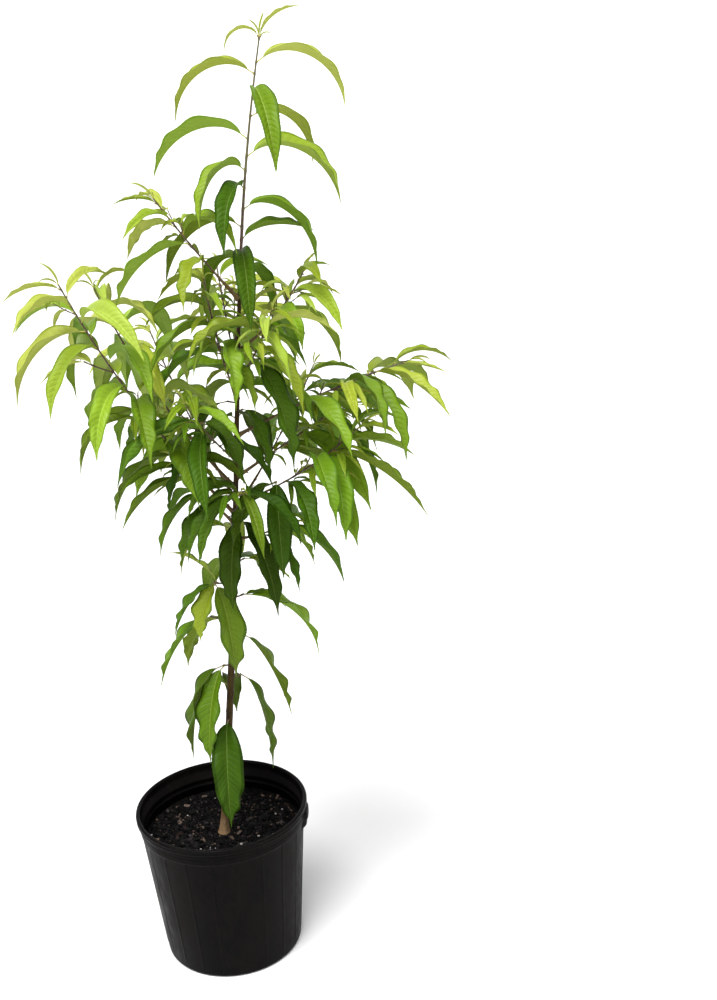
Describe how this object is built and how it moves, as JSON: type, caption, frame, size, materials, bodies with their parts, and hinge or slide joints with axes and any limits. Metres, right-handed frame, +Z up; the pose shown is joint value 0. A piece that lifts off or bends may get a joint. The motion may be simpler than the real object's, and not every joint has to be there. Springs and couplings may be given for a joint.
{
  "type": "dwarf peach tree",
  "caption": "Young dwarf peach tree with a leaning trunk and long arching leaves, growing in a round black nursery pot filled with potting mix.",
  "frame": {"origin": "centre of the pot's flat underside", "axes": "+Z up, +X to the side that the trunk leans to, -Y to the front"},
  "size_m": [0.5123, 0.3805, 1.1858],
  "materials": {
    "pot_plastic": "moulded black plastic, slightly dusty",
    "potting_mix": "dark bark mix with pale flecks",
    "trunk_bark": "smooth young bark, tan at the foot",
    "shoot_bark": "smooth reddish shoots",
    "foliage": "satin leaves, yellow-green at the tips and dark green inside"
  },
  "bodies": {
    "root": {"pot": "pot_plastic", "soil": "potting_mix", "trunk": "trunk_bark", "back_high_bough": "shoot_bark", "back_left_bough": "shoot_bark", "back_mid_bough": "shoot_bark", "back_right_bough": "shoot_bark", "front_left_bough": "shoot_bark", "front_low_bough": "shoot_bark", "front_right_bough": "shoot_bark", "front_upright_bough": "shoot_bark", "left_inner_bough": "shoot_bark", "left_long_bough": "shoot_bark", "left_low_bough": "shoot_bark", "right_foot_bough": "shoot_bark", "right_long_bough": "shoot_bark", "right_low_bough": "shoot_bark", "right_mid_bough": "shoot_bark", "upper_left_bough": "shoot_bark", "upper_right_bough": "shoot_bark", "back_high": "foliage", "back_left": "foliage", "back_mid": "foliage", "back_right": "foliage", "crown_top": "foliage", "front_left": "foliage", "front_low": "foliage", "front_right": "foliage", "front_upright": "foliage", "left_inner": "foliage", "left_long": "foliage", "left_low": "foliage", "right_foot": "foliage", "right_long": "foliage", "right_low": "foliage", "right_mid": "foliage", "spur_1": "foliage", "spur_10": "foliage", "spur_11": "foliage", "spur_12": "foliage", "spur_13": "foliage", "spur_14": "foliage", "spur_15": "foliage", "spur_16": "foliage", "spur_17": "foliage", "spur_18": "foliage", "spur_19": "foliage", "spur_2": "foliage", "spur_3": "foliage", "spur_4": "foliage", "spur_5": "foliage", "spur_6": "foliage", "spur_7": "foliage", "spur_8": "foliage", "spur_9": "foliage", "upper_left": "foliage", "upper_right": "foliage"}
  },
  "joints": []
}
